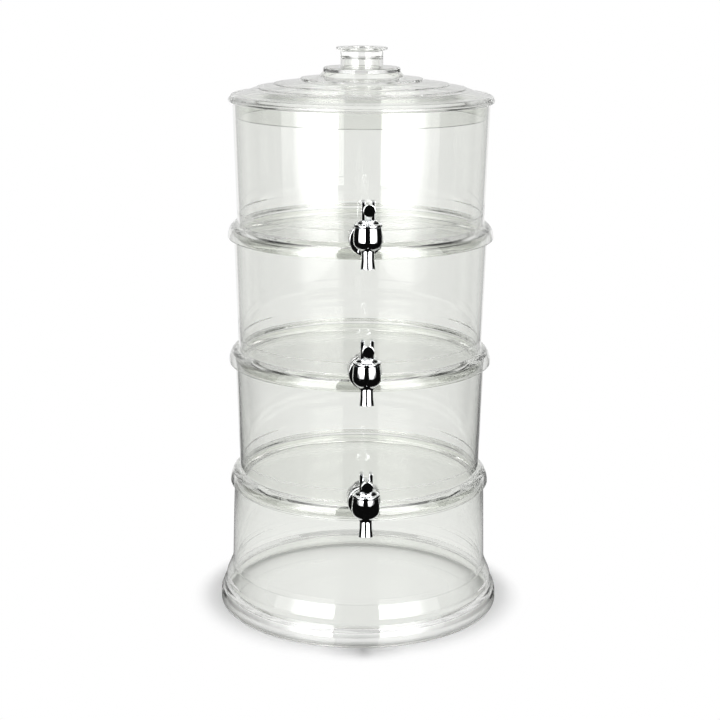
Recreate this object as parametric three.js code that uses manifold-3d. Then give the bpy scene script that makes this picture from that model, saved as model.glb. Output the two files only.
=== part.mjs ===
// Tiered beverage dispenser: a clear stand, three clear tanks that nest on it, each with a spigot,
// and a clear lid. Millimetres, +Z up. The spigots face -Y. The origin is on the ground, in the middle
// of the whole object's length from the stand's back to the levers' balls.

import * as THREE from 'three';
import { mergeVertices } from 'three/addons/utils/BufferGeometryUtils.js';
import Module from 'manifold-3d';

const wasm = await Module();
wasm.setup();

// Driving dimensions of the stack
const tierNames = ['lower', 'middle', 'upper'];
const tierPitch = 128.8;
const standRingHeight = 130.6;
const collarRadius = 135;
const collarSpread = 9.9;
const collarHeight = 15;
const collarWall = 2.6;
const mouthSpread = 3.5;
const tankWall = 3;
const rimRise = 8.7;
const nestClearance = 0.6;
const seatGap = 0.3;
const cutOverrun = 1;

// Tank floor and inside
const floorDrop = 1;
const floorThickness = 4;
const floorFillet = 5;
const nestChamfer = 1.5;
const shoulderHeight = 26.6;
const shoulderStep = 1;

// Port, where the spigot passes through the tank wall
const portHeight = 20;
const portPadRadius = 16.2;
const portPadProud = 1;
const portPadStand = 1.7;
const portClearance = 0.5;

// Stand
const standLedge = 2.6;
const standDraft = 2.1;
const standFootSpread = 12.8;
const standWall = 3;
const standFlareHeight = 46;
const standShoulder = 2;
const standPlateHeight = 12;
const standPlateThickness = 3;
const standPlateFillet = 2;
const standFootFlat = 3.1;
const standFootChamfer = 1.2;
const standFlareWall = 3.6;
// Each pair is a share of the way out from wall to foot, then of the height up the flare.
const standFlareShares = [
  [1, 0.217], [0.797, 0.359], [0.617, 0.465], [0.54, 0.587], [0.29, 0.752], [0.1, 0.87],
];

// Lid
const lidRimSpread = 4.4;
const lidRimHeight = 9.5;
const lidRimDrop = 3.2;
const lidRimWall = 2.2;
const lidRimRound = 1.9;
const lidWall = 2.6;
const lidDomeRise = 22.7;
const lidSkirtDrop = 8.4;
const lidSkirtWall = 2.6;
// Each pair is a share of the rim's radius, then of the dome's rise, with a low step at three radii.
const lidDomeShares = [
  [0.94, 0.18], [0.898, 0.27], [0.82, 0.436], [0.791, 0.48], [0.786, 0.524], [0.662, 0.639],
  [0.656, 0.683], [0.549, 0.762], [0.466, 0.833], [0.457, 0.912],
];
const hubFootRadius = 41.3;
const hubTopRadius = 36.5;
const hubRise = 8.8;
const hubRound = 2;

// Lid knob
const knobNeckRadius = 21.3;
const knobNeckWall = 3.4;
const knobFlangeRadius = 25.6;
const knobFlangeThickness = 2.6;
const knobTopThickness = 9.4;
const knobHeight = 21.4;
const knobSeatDepth = 2.2;
const knobRound = 0.8;

// Spigot body, in a frame with its origin on the port's axis at the port's outer face
const shankRadius = 7.8;
const shankSpare = 2.4;
const waterwayRadius = 4;
const flangeRadius = 15.5;
const flangeThickness = 3;
const flangeRound = 0.9;
const gasketThickness = 2;
const outerGasketRadius = 14.2;
const innerGasketRadius = 12.5;
const gasketBoreClearance = 0.5;
const nutAcrossFlats = 24;
const nutThickness = 7;
const barrelRootRadius = 9.6;
const barrelEndRadius = 8;
const valveReach = 44;
const bowlRadius = 13.4;
const bowlTopHeight = 18.7;
const bowlBaseDepth = 4.4;
// Each pair is a share of the bowl's radius, then of the way up from its base to its top.
const bowlShares = [
  [0.57, 0], [0.79, 0.078], [0.948, 0.203], [1, 0.364], [1, 0.494], [0.955, 0.797], [0.91, 1],
];
const chamberRadius = 9;
const chamberRimRadius = 10;
const chamberFloorDepth = 2;
const chamberLedgeHeight = 13.5;
const spoutLean = THREE.MathUtils.degToRad(15);
const spoutStartDepth = 1;
const spoutLength = 19.2;
const spoutRootRadius = 5.9;
const spoutEndRadius = 6.9;
const spoutBoreRadius = 4.4;
const spoutEndWall = 1.3;

// Bonnet, stem and seat cup
const bonnetRadius = 13.2;
const bonnetFlangeThickness = 2.8;
const bonnetRound = 0.6;
const bonnetPlugLength = 3.6;
const bonnetPlugWall = 2.5;
const bonnetDomeRadius = 9.6;
const bonnetDomeRise = 3.2;
const bonnetDomeRound = 2.2;
const bonnetRoofThickness = 4;
const threadClearance = 0.3;
const stemRadius = 2.3;
const stemClearance = 0.3;
const stemFootRadius = 3.9;
const stemFootHeight = 2.5;
const stemEyeRadius = 4.2;
const stemEyeWidth = 5;
const cupFloorThickness = 4.7;
const cupPlugRadius = 6.3;
const cupWall = 1.1;
const cupRimThickness = 1.3;
const cupWaistShare = 0.4;

// Lever and its pin, placed from the pin's axis
const pinRise = 8.5;
const pinRadius = 1.4;
const pinClearance = 0.2;
const pinStandOut = 0.3;
const cheekGap = 0.4;
const cheekThickness = 3.2;
const cheekHalfDepth = 6;
const cheekFootHalfDepth = 5.4;
const cheekTopHeight = 9.7;
const webThickness = 2.6;
const webDrop = 1;
const webLap = 0.3;
const ballReach = 28.4;
const ballRise = 4.7;
const ballRadius = 5.7;
const armRootRadius = 3.4;
const armEndRadius = 2.7;

// Facets of the round shapes
const bodySides = 36;
const portSides = 20;
const knobSides = 28;
const spigotSides = 16;
const pinSides = 12;
const collarSteps = 4;
const channelSteps = 2;
const filletSteps = 2;
const mergeTolerance = 1e-4;

// Sizes that follow from the driving ones
const wallRootRadius = collarRadius - collarSpread;
const mouthRadius = wallRootRadius + mouthSpread;
const mouthDraft = mouthSpread / (tierPitch - collarHeight);
const rimRadius = mouthRadius + mouthDraft * rimRise;
const rimBoreRadius = mouthRadius - tankWall;
const nestRadius = rimBoreRadius - nestClearance;
const shelfHeight = rimRise + seatGap;
const standWallTopRadius = mouthRadius + standLedge;
const standWallBaseRadius = standWallTopRadius + standDraft;
const standFootRadius = standWallBaseRadius + standFootSpread;
const lidRimRadius = mouthRadius + lidRimSpread;
const floorTop = floorThickness - floorDrop;
const shoulderRadius = wallRootRadius + mouthDraft * (shoulderHeight - collarHeight) - tankWall;
const lowBoreRadius = shoulderRadius - shoulderStep;
const portFaceReach = collarRadius + portPadProud;
const portPadReach = lowBoreRadius - portPadStand;
const portThickness = portFaceReach - portPadReach;
const frontReach = portFaceReach + valveReach + ballReach + ballRadius;
const stackSetback = (frontReach - standFootRadius) / 2;
const lidHeight = standRingHeight + tierNames.length * tierPitch;
const hubBase = lidRimHeight + lidDomeRise;
const hubTop = hubBase + hubRise;
const flangeBack = gasketThickness + 2 * seatGap;
const flangeFront = flangeBack + flangeThickness;
const innerGasketStart = portThickness + seatGap;
const nutStart = innerGasketStart + gasketThickness + seatGap;
const shankEnd = nutStart + nutThickness + shankSpare;
const bonnetBase = bowlTopHeight + seatGap;
const bonnetShoulder = bonnetBase + bonnetFlangeThickness;
const bonnetTop = bonnetShoulder + bonnetDomeRise;
const bonnetPlugBase = bonnetBase - bonnetPlugLength;
const pinHeight = bonnetTop + pinRise;
const cupBase = seatGap - chamberFloorDepth;
const cupFloor = cupBase + cupFloorThickness;
const cupRimBase = chamberLedgeHeight + seatGap;
const stemBase = cupFloor + seatGap;

// Gives a geometry shared vertices, no collapsed triangles and faces that point out.
function closed(geometry) {
  geometry.deleteAttribute('normal');
  geometry.deleteAttribute('uv');
  const merged = mergeVertices(geometry, mergeTolerance);
  const kept = [];
  const points = [0, 1, 2].map(() => new THREE.Vector3());
  let volume = 0;
  for (let i = 0; i < merged.index.count; i += 3) {
    const corners = [0, 1, 2].map((k) => merged.index.getX(i + k));
    if (new Set(corners).size < 3) continue;
    corners.forEach((corner, k) => points[k].fromBufferAttribute(merged.attributes.position, corner));
    volume += points[0].dot(points[1].clone().cross(points[2]));
    kept.push(corners);
  }
  const facing = volume < 0 ? kept.map(([a, b, c]) => [a, c, b]) : kept;
  merged.setIndex(facing.flat());
  return merged;
}

function toSolid(geometry) {
  const vertProperties = new Float32Array(geometry.attributes.position.array);
  const triVerts = new Uint32Array(geometry.index.array);
  return new wasm.Manifold(new wasm.Mesh({ numProp: 3, vertProperties, triVerts }));
}

function toGeometry(solid) {
  const { vertProperties, triVerts } = solid.getMesh();
  const geometry = new THREE.BufferGeometry();
  geometry.setAttribute('position', new THREE.BufferAttribute(new Float32Array(vertProperties), 3));
  geometry.setIndex(Array.from(triVerts));
  return geometry;
}

// Turns an outline of [radius, height] points about the Z axis.
function turned(outline, sides) {
  const points = outline.map(([radius, height]) => new THREE.Vector2(radius, height));
  const geometry = new THREE.LatheGeometry(points, sides);
  geometry.rotateX(Math.PI / 2);
  return closed(geometry);
}

// A turned ring, whose outline closes on itself.
function turnedRing(outline, sides) {
  return turned([...outline, outline[0]], sides);
}

// A cylinder or cone along Y from one place to another.
function barAlongY(startY, endY, startRadius, endRadius, sides) {
  const geometry = new THREE.CylinderGeometry(endRadius, startRadius, endY - startY, sides);
  geometry.translate(0, (startY + endY) / 2, 0);
  return closed(geometry);
}

function barAlongZ(startZ, endZ, radius, sides) {
  const geometry = new THREE.CylinderGeometry(radius, radius, endZ - startZ, sides);
  geometry.rotateX(Math.PI / 2);
  geometry.translate(0, 0, (startZ + endZ) / 2);
  return closed(geometry);
}

function barAlongX(width, radius, height, sides) {
  const geometry = new THREE.CylinderGeometry(radius, radius, width, sides);
  geometry.rotateZ(Math.PI / 2);
  geometry.translate(0, 0, height);
  return closed(geometry);
}

// Points of a quarter ellipse about a centre, from one angle to another.
function arc(centreRadius, centreHeight, spread, rise, startAngle, endAngle, steps) {
  return Array.from({ length: steps + 1 }, (unused, i) => {
    const angle = startAngle + ((endAngle - startAngle) * i) / steps;
    return [centreRadius + spread * Math.cos(angle), centreHeight + rise * Math.sin(angle)];
  });
}

// The hollow under a collar, from the shelf down to the collar's lower edge.
function channelArc() {
  const rise = collarHeight - collarWall;
  const shelfAngle = Math.asin(shelfHeight / rise);
  return arc(wallRootRadius, 0, collarSpread - collarWall, rise, shelfAngle, 0, channelSteps);
}

function tankShell() {
  const rimTop = tierPitch + rimRise;
  const filletRadius = lowBoreRadius - floorFillet;
  const filletHeight = floorTop + floorFillet;
  return turned([
    [0, -floorDrop],
    [nestRadius - nestChamfer, -floorDrop],
    [nestRadius, nestChamfer - floorDrop],
    [nestRadius, shelfHeight],
    ...channelArc(),
    ...arc(wallRootRadius, 0, collarSpread, collarHeight, 0, Math.PI / 2, collarSteps),
    [rimRadius, rimTop],
    [rimRadius - tankWall, rimTop],
    [shoulderRadius, shoulderHeight],
    [lowBoreRadius, shoulderHeight - shoulderStep],
    ...arc(filletRadius, filletHeight, floorFillet, floorFillet, 0, -Math.PI / 2, filletSteps),
    [0, floorTop],
  ], bodySides);
}

// The port pad stands out past the collar, but leaves free the channel where the piece below puts its rim.
function portPad() {
  const pad = barAlongY(-portFaceReach, -portPadReach, portPadRadius, portPadRadius, portSides);
  pad.translate(0, 0, portHeight);
  const channel = turnedRing([
    [nestRadius, -cutOverrun],
    [nestRadius, shelfHeight],
    ...channelArc(),
    [wallRootRadius + collarSpread - collarWall, -cutOverrun],
  ], bodySides);
  return toSolid(pad).subtract(toSolid(channel));
}

function tank() {
  const holeRadius = shankRadius + portClearance;
  const holeStart = -portFaceReach - cutOverrun;
  const hole = barAlongY(holeStart, cutOverrun - portPadReach, holeRadius, holeRadius, portSides);
  hole.translate(0, 0, portHeight);
  return toGeometry(toSolid(tankShell()).add(portPad()).subtract(toSolid(hole)));
}

function stand() {
  const flare = standFlareShares.map(([out, up]) => {
    return [standWallBaseRadius + out * standFootSpread, up * standFlareHeight];
  });
  const shoulder = standRingHeight - standShoulder;
  const wallInset = standWallBaseRadius - standWall;
  const plateTop = standPlateHeight + standPlateThickness;
  const rimTop = standRingHeight + rimRise;
  const footInner = standFootRadius - standFootFlat - standFootChamfer;
  const insideFlare = flare.map(([radius, height]) => [radius - standFlareWall, height]);
  const plateFilletTop = plateTop + standPlateFillet;
  const plateRadius = insideFlare.find(([, height]) => height > plateFilletTop)[0];
  return turned([
    [0, standPlateHeight],
    [plateRadius, standPlateHeight],
    [footInner, 0],
    [standFootRadius - standFootChamfer, 0],
    [standFootRadius, standFootChamfer],
    ...flare,
    [standWallBaseRadius, standFlareHeight],
    [standWallTopRadius, shoulder],
    [rimRadius, standRingHeight - seatGap],
    [rimRadius, rimTop],
    [rimRadius - tankWall, rimTop],
    [rimBoreRadius, shoulder],
    [standWallTopRadius - standWall, shoulder - standShoulder],
    [wallInset, standFlareHeight],
    ...insideFlare.filter(([, height]) => height > plateFilletTop).reverse(),
    [plateRadius, plateFilletTop],
    [plateRadius - standPlateFillet, plateTop],
    [0, plateTop],
  ], bodySides);
}

function lidOutline() {
  const dome = lidDomeShares.map(([out, up]) => [out * lidRimRadius, lidRimHeight + up * lidDomeRise]);
  const skirtBore = nestRadius - lidSkirtWall;
  const insideSkirt = dome.filter(([radius]) => radius < skirtBore);
  const underDome = insideSkirt.map(([radius, height]) => [radius, height - lidWall]);
  const rimBore = lidRimRadius - lidRimWall - seatGap;
  const seatRadius = knobNeckRadius + seatGap;
  return [
    [0, hubTop - knobSeatDepth - lidWall],
    [hubTopRadius - lidWall, hubTop - knobSeatDepth - lidWall],
    [hubFootRadius - lidWall, hubBase - lidWall],
    ...underDome.reverse(),
    [skirtBore, underDome.at(-1)[1] - lidWall / 2],
    [skirtBore, -lidSkirtDrop],
    [nestRadius, -lidSkirtDrop],
    [nestRadius, shelfHeight],
    [rimBore - lidRimWall / 2, shelfHeight],
    [rimBore, lidRimDrop],
    [lidRimRadius - seatGap, lidRimDrop],
    [lidRimRadius, lidRimHeight],
    [lidRimRadius - lidRimRound, lidRimHeight + lidRimRound],
    ...dome,
    [hubFootRadius + hubRound, hubBase],
    [hubFootRadius, hubBase + hubRound / 2],
    [hubTopRadius + hubRound, hubTop - hubRise / 2],
    [hubTopRadius + hubRound, hubTop - hubRound],
    [hubTopRadius, hubTop],
    [seatRadius, hubTop],
    [seatRadius, hubTop - knobSeatDepth],
    [0, hubTop - knobSeatDepth],
  ];
}

function lid() {
  return turned(lidOutline(), bodySides);
}

// The knob is a hollow drum, open below, with a thick clear top and a thin flange around it.
function lidKnob() {
  const top = knobHeight;
  const cavityTop = top - knobTopThickness;
  const flangeBase = top - knobFlangeThickness;
  return turned([
    [0, cavityTop],
    [knobNeckRadius - knobNeckWall, cavityTop],
    [knobNeckRadius - knobNeckWall, 0],
    [knobNeckRadius, 0],
    [knobNeckRadius, flangeBase - knobRound],
    [knobNeckRadius + knobRound, flangeBase],
    [knobFlangeRadius - knobRound, flangeBase],
    [knobFlangeRadius, flangeBase + knobRound],
    [knobFlangeRadius, top - knobRound],
    [knobFlangeRadius - knobRound, top],
    [0, top],
  ], knobSides);
}

// The bowl stands on the valve's axis, valveReach in front of the port's face.
function bowl() {
  const rise = bowlTopHeight + bowlBaseDepth;
  const side = bowlShares.map(([out, up]) => [out * bowlRadius, up * rise - bowlBaseDepth]);
  const geometry = turned([[0, -bowlBaseDepth], ...side, [0, bowlTopHeight]], spigotSides);
  geometry.translate(0, -valveReach, 0);
  return geometry;
}

// A shape turned about the spout's own axis, hung from its start and leaned forward.
function onSpoutAxis(geometry) {
  geometry.rotateX(-spoutLean);
  geometry.translate(0, -valveReach, -spoutStartDepth);
  return geometry;
}

function wallFlange() {
  const geometry = turned([
    [0, 0],
    [flangeRadius, 0],
    [flangeRadius, flangeThickness - flangeRound],
    [flangeRadius - flangeRound, flangeThickness],
    [0, flangeThickness],
  ], spigotSides);
  geometry.rotateX(Math.PI / 2);
  geometry.translate(0, -flangeBack, 0);
  return geometry;
}

function spigotBody() {
  const spout = onSpoutAxis(turned([
    [0, -spoutLength],
    [spoutEndRadius, -spoutLength],
    [spoutRootRadius, -spoutLength / 2],
    [spoutRootRadius, 0],
    [0, 0],
  ], spigotSides));
  const outlet = onSpoutAxis(turned([
    [0, -spoutLength - cutOverrun],
    [spoutEndRadius - spoutEndWall, -spoutLength - cutOverrun],
    [spoutEndRadius - spoutEndWall, -spoutLength],
    [spoutBoreRadius, -spoutLength / 2],
    [spoutBoreRadius, cutOverrun],
    [0, cutOverrun],
  ], spigotSides));
  const chamber = barAlongZ(-chamberFloorDepth, bowlTopHeight, chamberRadius, spigotSides);
  const rimEnd = bowlTopHeight + cutOverrun;
  const chamberRim = barAlongZ(chamberLedgeHeight, rimEnd, chamberRimRadius, spigotSides);
  chamber.translate(0, -valveReach, 0);
  chamberRim.translate(0, -valveReach, 0);
  const waterwayStart = chamberRadius - cutOverrun / 2 - valveReach;
  const waterwayEnd = shankEnd + cutOverrun;
  const waterway = barAlongY(waterwayStart, waterwayEnd, waterwayRadius, waterwayRadius, spigotSides);
  const shank = barAlongY(-flangeBack - cutOverrun, shankEnd, shankRadius, shankRadius, spigotSides);
  const barrelEnd = cutOverrun - flangeFront;
  const barrel = barAlongY(-valveReach, barrelEnd, barrelEndRadius, barrelRootRadius, spigotSides);
  const pieces = [wallFlange(), barrel, bowl(), spout];
  const outside = pieces.reduce((sum, piece) => sum.add(toSolid(piece)), toSolid(shank));
  const cuts = [waterway, chamber, chamberRim, outlet];
  return toGeometry(cuts.reduce((rest, cut) => rest.subtract(toSolid(cut)), outside));
}

function gasket(startY, outerRadius) {
  const boreRadius = shankRadius + gasketBoreClearance;
  const geometry = turnedRing([
    [boreRadius, 0],
    [outerRadius, 0],
    [outerRadius, gasketThickness],
    [boreRadius, gasketThickness],
  ], spigotSides);
  geometry.rotateX(Math.PI / 2);
  geometry.translate(0, startY + gasketThickness, 0);
  return geometry;
}

function lockNut() {
  const cornerRadius = nutAcrossFlats / 2 / Math.cos(Math.PI / 6);
  const hexagon = new THREE.Shape();
  for (let corner = 0; corner < 6; corner += 1) {
    const angle = (corner * Math.PI) / 3;
    const place = [cornerRadius * Math.cos(angle), cornerRadius * Math.sin(angle)];
    if (corner === 0) hexagon.moveTo(...place);
    else hexagon.lineTo(...place);
  }
  hexagon.closePath();
  const bore = new THREE.Path();
  bore.absarc(0, 0, shankRadius + threadClearance, 0, 2 * Math.PI, true);
  hexagon.holes.push(bore);
  const geometry = new THREE.ExtrudeGeometry(hexagon, {
    depth: nutThickness,
    bevelEnabled: false,
    curveSegments: spigotSides / 2,
  });
  geometry.rotateX(Math.PI / 2);
  geometry.translate(0, nutStart + nutThickness, 0);
  return closed(geometry);
}

function bonnet() {
  const plugRadius = chamberRimRadius - threadClearance;
  const plugBore = plugRadius - bonnetPlugWall;
  const roof = bonnetTop - bonnetRoofThickness;
  const geometry = turnedRing([
    [plugBore, bonnetPlugBase],
    [plugRadius, bonnetPlugBase],
    [plugRadius, bonnetBase],
    [bonnetRadius - bonnetRound, bonnetBase],
    [bonnetRadius, bonnetBase + bonnetRound],
    [bonnetRadius, bonnetShoulder - bonnetRound],
    [bonnetRadius - bonnetRound, bonnetShoulder],
    [bonnetDomeRadius, bonnetShoulder + bonnetRound],
    [bonnetDomeRadius - bonnetRound, bonnetTop - bonnetDomeRound / 2],
    [bonnetDomeRadius - bonnetDomeRound, bonnetTop],
    [stemRadius + stemClearance, bonnetTop],
    [stemRadius + stemClearance, roof],
    [plugBore, roof],
  ], spigotSides);
  geometry.translate(0, -valveReach, 0);
  return geometry;
}

// The cup's rim is held under the bonnet, and its plug covers the outlet.
function seatCup() {
  const rimRadiusOut = chamberRimRadius - threadClearance;
  const neckRadius = chamberRadius - threadClearance;
  const waist = cupBase + (cupRimBase - cupBase) * cupWaistShare;
  const cupRimTop = cupRimBase + cupRimThickness;
  const geometry = turned([
    [0, cupBase],
    [cupPlugRadius, cupBase],
    [cupPlugRadius + cupWall / 2, waist],
    [neckRadius, cupRimBase],
    [rimRadiusOut, cupRimBase],
    [rimRadiusOut, cupRimTop],
    [neckRadius - cupWall, cupRimTop],
    [cupPlugRadius - cupWall / 2, waist],
    [cupPlugRadius - cupWall, cupFloor],
    [0, cupFloor],
  ], spigotSides);
  geometry.translate(0, -valveReach, 0);
  return geometry;
}

function valveStem() {
  const rod = turned([
    [0, stemBase],
    [stemFootRadius, stemBase],
    [stemFootRadius, stemBase + stemFootHeight],
    [stemRadius, stemBase + stemFootHeight],
    [stemRadius, pinHeight],
    [0, pinHeight],
  ], pinSides);
  const eye = barAlongX(stemEyeWidth, stemEyeRadius, pinHeight, spigotSides);
  const pinHole = barAlongX(stemEyeWidth + cutOverrun, pinRadius + pinClearance, pinHeight, pinSides);
  const geometry = toGeometry(toSolid(rod).add(toSolid(eye)).subtract(toSolid(pinHole)));
  geometry.translate(0, -valveReach, 0);
  return geometry;
}

function hingePin() {
  const width = stemEyeWidth + 2 * (cheekGap + cheekThickness + pinStandOut);
  const geometry = barAlongX(width, pinRadius, pinHeight, pinSides);
  geometry.translate(0, -valveReach, 0);
  return geometry;
}

// One cheek of the lever, drawn in the YZ plane about the pin and given its thickness along X.
function leverCheek(innerX) {
  const outline = new THREE.Shape();
  const footDrop = pinRise - seatGap;
  const domeHeight = cheekTopHeight - cheekHalfDepth;
  outline.moveTo(cheekFootHalfDepth, -footDrop);
  outline.lineTo(cheekHalfDepth, domeHeight);
  outline.absarc(0, domeHeight, cheekHalfDepth, 0, Math.PI, false);
  outline.lineTo(-cheekFootHalfDepth, -footDrop);
  outline.closePath();
  const geometry = new THREE.ExtrudeGeometry(outline, {
    depth: cheekThickness,
    bevelEnabled: false,
    curveSegments: spigotSides / 2,
  });
  const alongY = new THREE.Vector3(0, 1, 0);
  const alongZ = new THREE.Vector3(0, 0, 1);
  const alongX = new THREE.Vector3(1, 0, 0);
  geometry.applyMatrix4(new THREE.Matrix4().makeBasis(alongY, alongZ, alongX));
  geometry.translate(innerX, 0, 0);
  return closed(geometry);
}

function lever() {
  const cheekInner = stemEyeWidth / 2 + cheekGap;
  const webStart = stemEyeRadius + cheekGap;
  const webHeight = cheekTopHeight - cheekHalfDepth + webDrop;
  const web = new THREE.BoxGeometry(2 * (cheekInner + webLap), webThickness, webHeight + webDrop);
  web.translate(0, -webStart - webThickness / 2, (webHeight - webDrop) / 2);
  const armStart = webStart + webLap;
  const arm = new THREE.CylinderGeometry(armRootRadius, armEndRadius, ballReach - armStart, spigotSides);
  arm.translate(0, -(ballReach + armStart) / 2, 0);
  const ball = new THREE.SphereGeometry(ballRadius, spigotSides, spigotSides / 2);
  ball.rotateX(Math.PI / 2);
  ball.translate(0, -ballReach, ballRise);
  const armHeight = armRootRadius - webDrop;
  arm.rotateX(-Math.atan2(ballRise - armHeight, ballReach - webStart));
  arm.translate(0, 0, (armHeight + ballRise) / 2);
  const pinHoleWidth = 2 * (cheekInner + cheekThickness) + cutOverrun;
  const pinHole = barAlongX(pinHoleWidth, pinRadius + pinClearance, 0, pinSides);
  const pieces = [leverCheek(-cheekInner - cheekThickness), closed(web), closed(arm), closed(ball)];
  const whole = pieces.reduce((sum, piece) => sum.add(toSolid(piece)), toSolid(leverCheek(cheekInner)));
  const geometry = toGeometry(whole.subtract(toSolid(pinHole)));
  geometry.translate(0, -valveReach, pinHeight);
  return geometry;
}

const finishes = {
  clearPlastic: { color: 0xe6edea, roughness: 0.05, metalness: 0, transparent: true, opacity: 0.35 },
  chrome: { color: 0xd9dcdf, roughness: 0.08, metalness: 1 },
  steel: { color: 0xb9bcbf, roughness: 0.3, metalness: 1 },
  silicone: { color: 0xdfe2e0, roughness: 0.6, metalness: 0 },
  rubber: { color: 0x2b2c2e, roughness: 0.8, metalness: 0 },
  whitePlastic: { color: 0xeceeed, roughness: 0.4, metalness: 0 },
};

function addMesh(parent, name, geometry, finish) {
  const material = new THREE.MeshStandardMaterial({ ...finishes[finish], flatShading: true });
  const mesh = new THREE.Mesh(geometry, material);
  mesh.name = name;
  parent.add(mesh);
}

function addSpigot(parent, tier) {
  const spigot = new THREE.Group();
  spigot.position.set(0, -portFaceReach, portHeight);
  const outerGasketStart = seatGap - flangeBack;
  addMesh(spigot, `spigot_body_${tier}`, spigotBody(), 'chrome');
  addMesh(spigot, `bonnet_${tier}`, bonnet(), 'chrome');
  addMesh(spigot, `lever_${tier}`, lever(), 'chrome');
  addMesh(spigot, `hinge_pin_${tier}`, hingePin(), 'steel');
  addMesh(spigot, `valve_stem_${tier}`, valveStem(), 'whitePlastic');
  addMesh(spigot, `seat_cup_${tier}`, seatCup(), 'silicone');
  addMesh(spigot, `outer_gasket_${tier}`, gasket(outerGasketStart, outerGasketRadius), 'rubber');
  addMesh(spigot, `inner_gasket_${tier}`, gasket(innerGasketStart, innerGasketRadius), 'rubber');
  addMesh(spigot, `lock_nut_${tier}`, lockNut(), 'whitePlastic');
  parent.add(spigot);
}

const dispenser = new THREE.Group();
const stack = new THREE.Group();
stack.position.y = stackSetback;
dispenser.add(stack);
addMesh(stack, 'stand', stand(), 'clearPlastic');
tierNames.forEach((tier, index) => {
  const level = new THREE.Group();
  level.position.z = standRingHeight + index * tierPitch;
  addMesh(level, `tank_${tier}`, tank(), 'clearPlastic');
  addSpigot(level, tier);
  stack.add(level);
});
const cover = new THREE.Group();
cover.position.z = lidHeight;
addMesh(cover, 'lid', lid(), 'clearPlastic');
const knob = lidKnob();
knob.translate(0, 0, hubTop - knobSeatDepth + seatGap);
addMesh(cover, 'lid_knob', knob, 'clearPlastic');
stack.add(cover);

export default dispenser;
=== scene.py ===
"""Looks of the tiered beverage dispenser: clear moulded plastic, chrome spigots and a white studio."""

import math

import bmesh
import bpy
from mathutils import Matrix, Vector


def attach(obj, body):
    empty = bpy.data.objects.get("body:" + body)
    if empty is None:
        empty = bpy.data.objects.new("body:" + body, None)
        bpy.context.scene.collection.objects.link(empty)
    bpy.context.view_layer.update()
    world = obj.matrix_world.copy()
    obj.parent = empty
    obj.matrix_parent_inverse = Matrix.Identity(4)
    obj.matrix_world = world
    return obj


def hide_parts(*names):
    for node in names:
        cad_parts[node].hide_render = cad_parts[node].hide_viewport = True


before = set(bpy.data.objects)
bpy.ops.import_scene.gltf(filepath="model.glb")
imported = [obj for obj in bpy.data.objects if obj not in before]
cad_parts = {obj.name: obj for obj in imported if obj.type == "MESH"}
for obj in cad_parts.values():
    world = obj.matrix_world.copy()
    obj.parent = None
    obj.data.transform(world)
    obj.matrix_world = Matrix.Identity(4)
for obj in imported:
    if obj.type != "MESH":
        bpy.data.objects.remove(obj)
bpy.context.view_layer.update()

MM = 0.001

# Dimensions in millimetres. The large ones are those of the solids, and the roundings are the scene's own.
TIERS = ("lower", "middle", "upper")
STACK_SETBACK = 34.0
TIER_PITCH = 128.8
STAND_RING_HEIGHT = 130.6
LID_HEIGHT = STAND_RING_HEIGHT + len(TIERS) * TIER_PITCH
COLLAR_RADIUS = 135.0
COLLAR_HEIGHT = 15.0
COLLAR_WALL = 2.6
COLLAR_EDGE_ROUND = 0.7
WALL_ROOT_RADIUS = 125.1
MOUTH_RADIUS = 128.6
TANK_WALL = 3.0
RIM_RISE = 8.7
RIM_ROUND = 1.1
NEST_CLEARANCE = 0.6
NEST_ROUND = 1.5
SEAT_GAP = 0.3
FLOOR_DROP = 1.0
FLOOR_THICKNESS = 4.0
FLOOR_FILLET = 5.0
SHOULDER_HEIGHT = 26.6
SHOULDER_STEP = 1.0
PORT_HEIGHT = 20.0
PORT_PAD_RADIUS = 16.2
PORT_FACE_REACH = 136.0
PORT_PAD_STAND = 1.7
PORT_HOLE_RADIUS = 8.3
PORT_PAD_ROUND = 0.6

FOOT_RADIUS = 146.1
FOOT_ROUND = 1.2
FOOT_INNER_RADIUS = 141.8
FOOT_INNER_ROUND = 0.8
STAND_TOP_RADIUS = 131.2
STAND_BASE_RADIUS = 133.3
STAND_WALL = 3.0
STAND_SHOULDER = 2.0
STAND_SHOULDER_ROUND = 1.5
FLARE_HEIGHT = 46.0
FLARE_ROUND = 4.0
FLARE_WALL = 3.6
# Rows of a radius, a height and a rounding. In the flare a second rounding follows, for its inner side.
FOOT_ROWS = ((FOOT_RADIUS, 10.0, 5.0), (143.5, 16.5, 4.0))
FLARE_ROWS = (
    (141.2, 21.4, 1.2, 1.0), (140.2, 27.0, 3.0, 3.0), (137.0, 34.6, 1.5, 1.5), (134.6, 40.0, 4.0, 3.0),
)
PLATE_RADIUS = 137.6
PLATE_HEIGHT = 12.0
PLATE_THICKNESS = 3.0
PLATE_UNDER_ROUND = 1.5
PLATE_FILLET = 2.0

LID_RIM_RADIUS = 133.0
LID_RIM_HEIGHT = 9.5
LID_RIM_CROWN = 0.8
LID_RIM_ROUND = 2.2
LID_RIM_WALL = 2.2
LID_RIM_INNER_ROUND = 0.6
LID_EDGE_ROUND = 0.9
LID_WALL = 2.6
LID_DOME_RISE = 22.7
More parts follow.
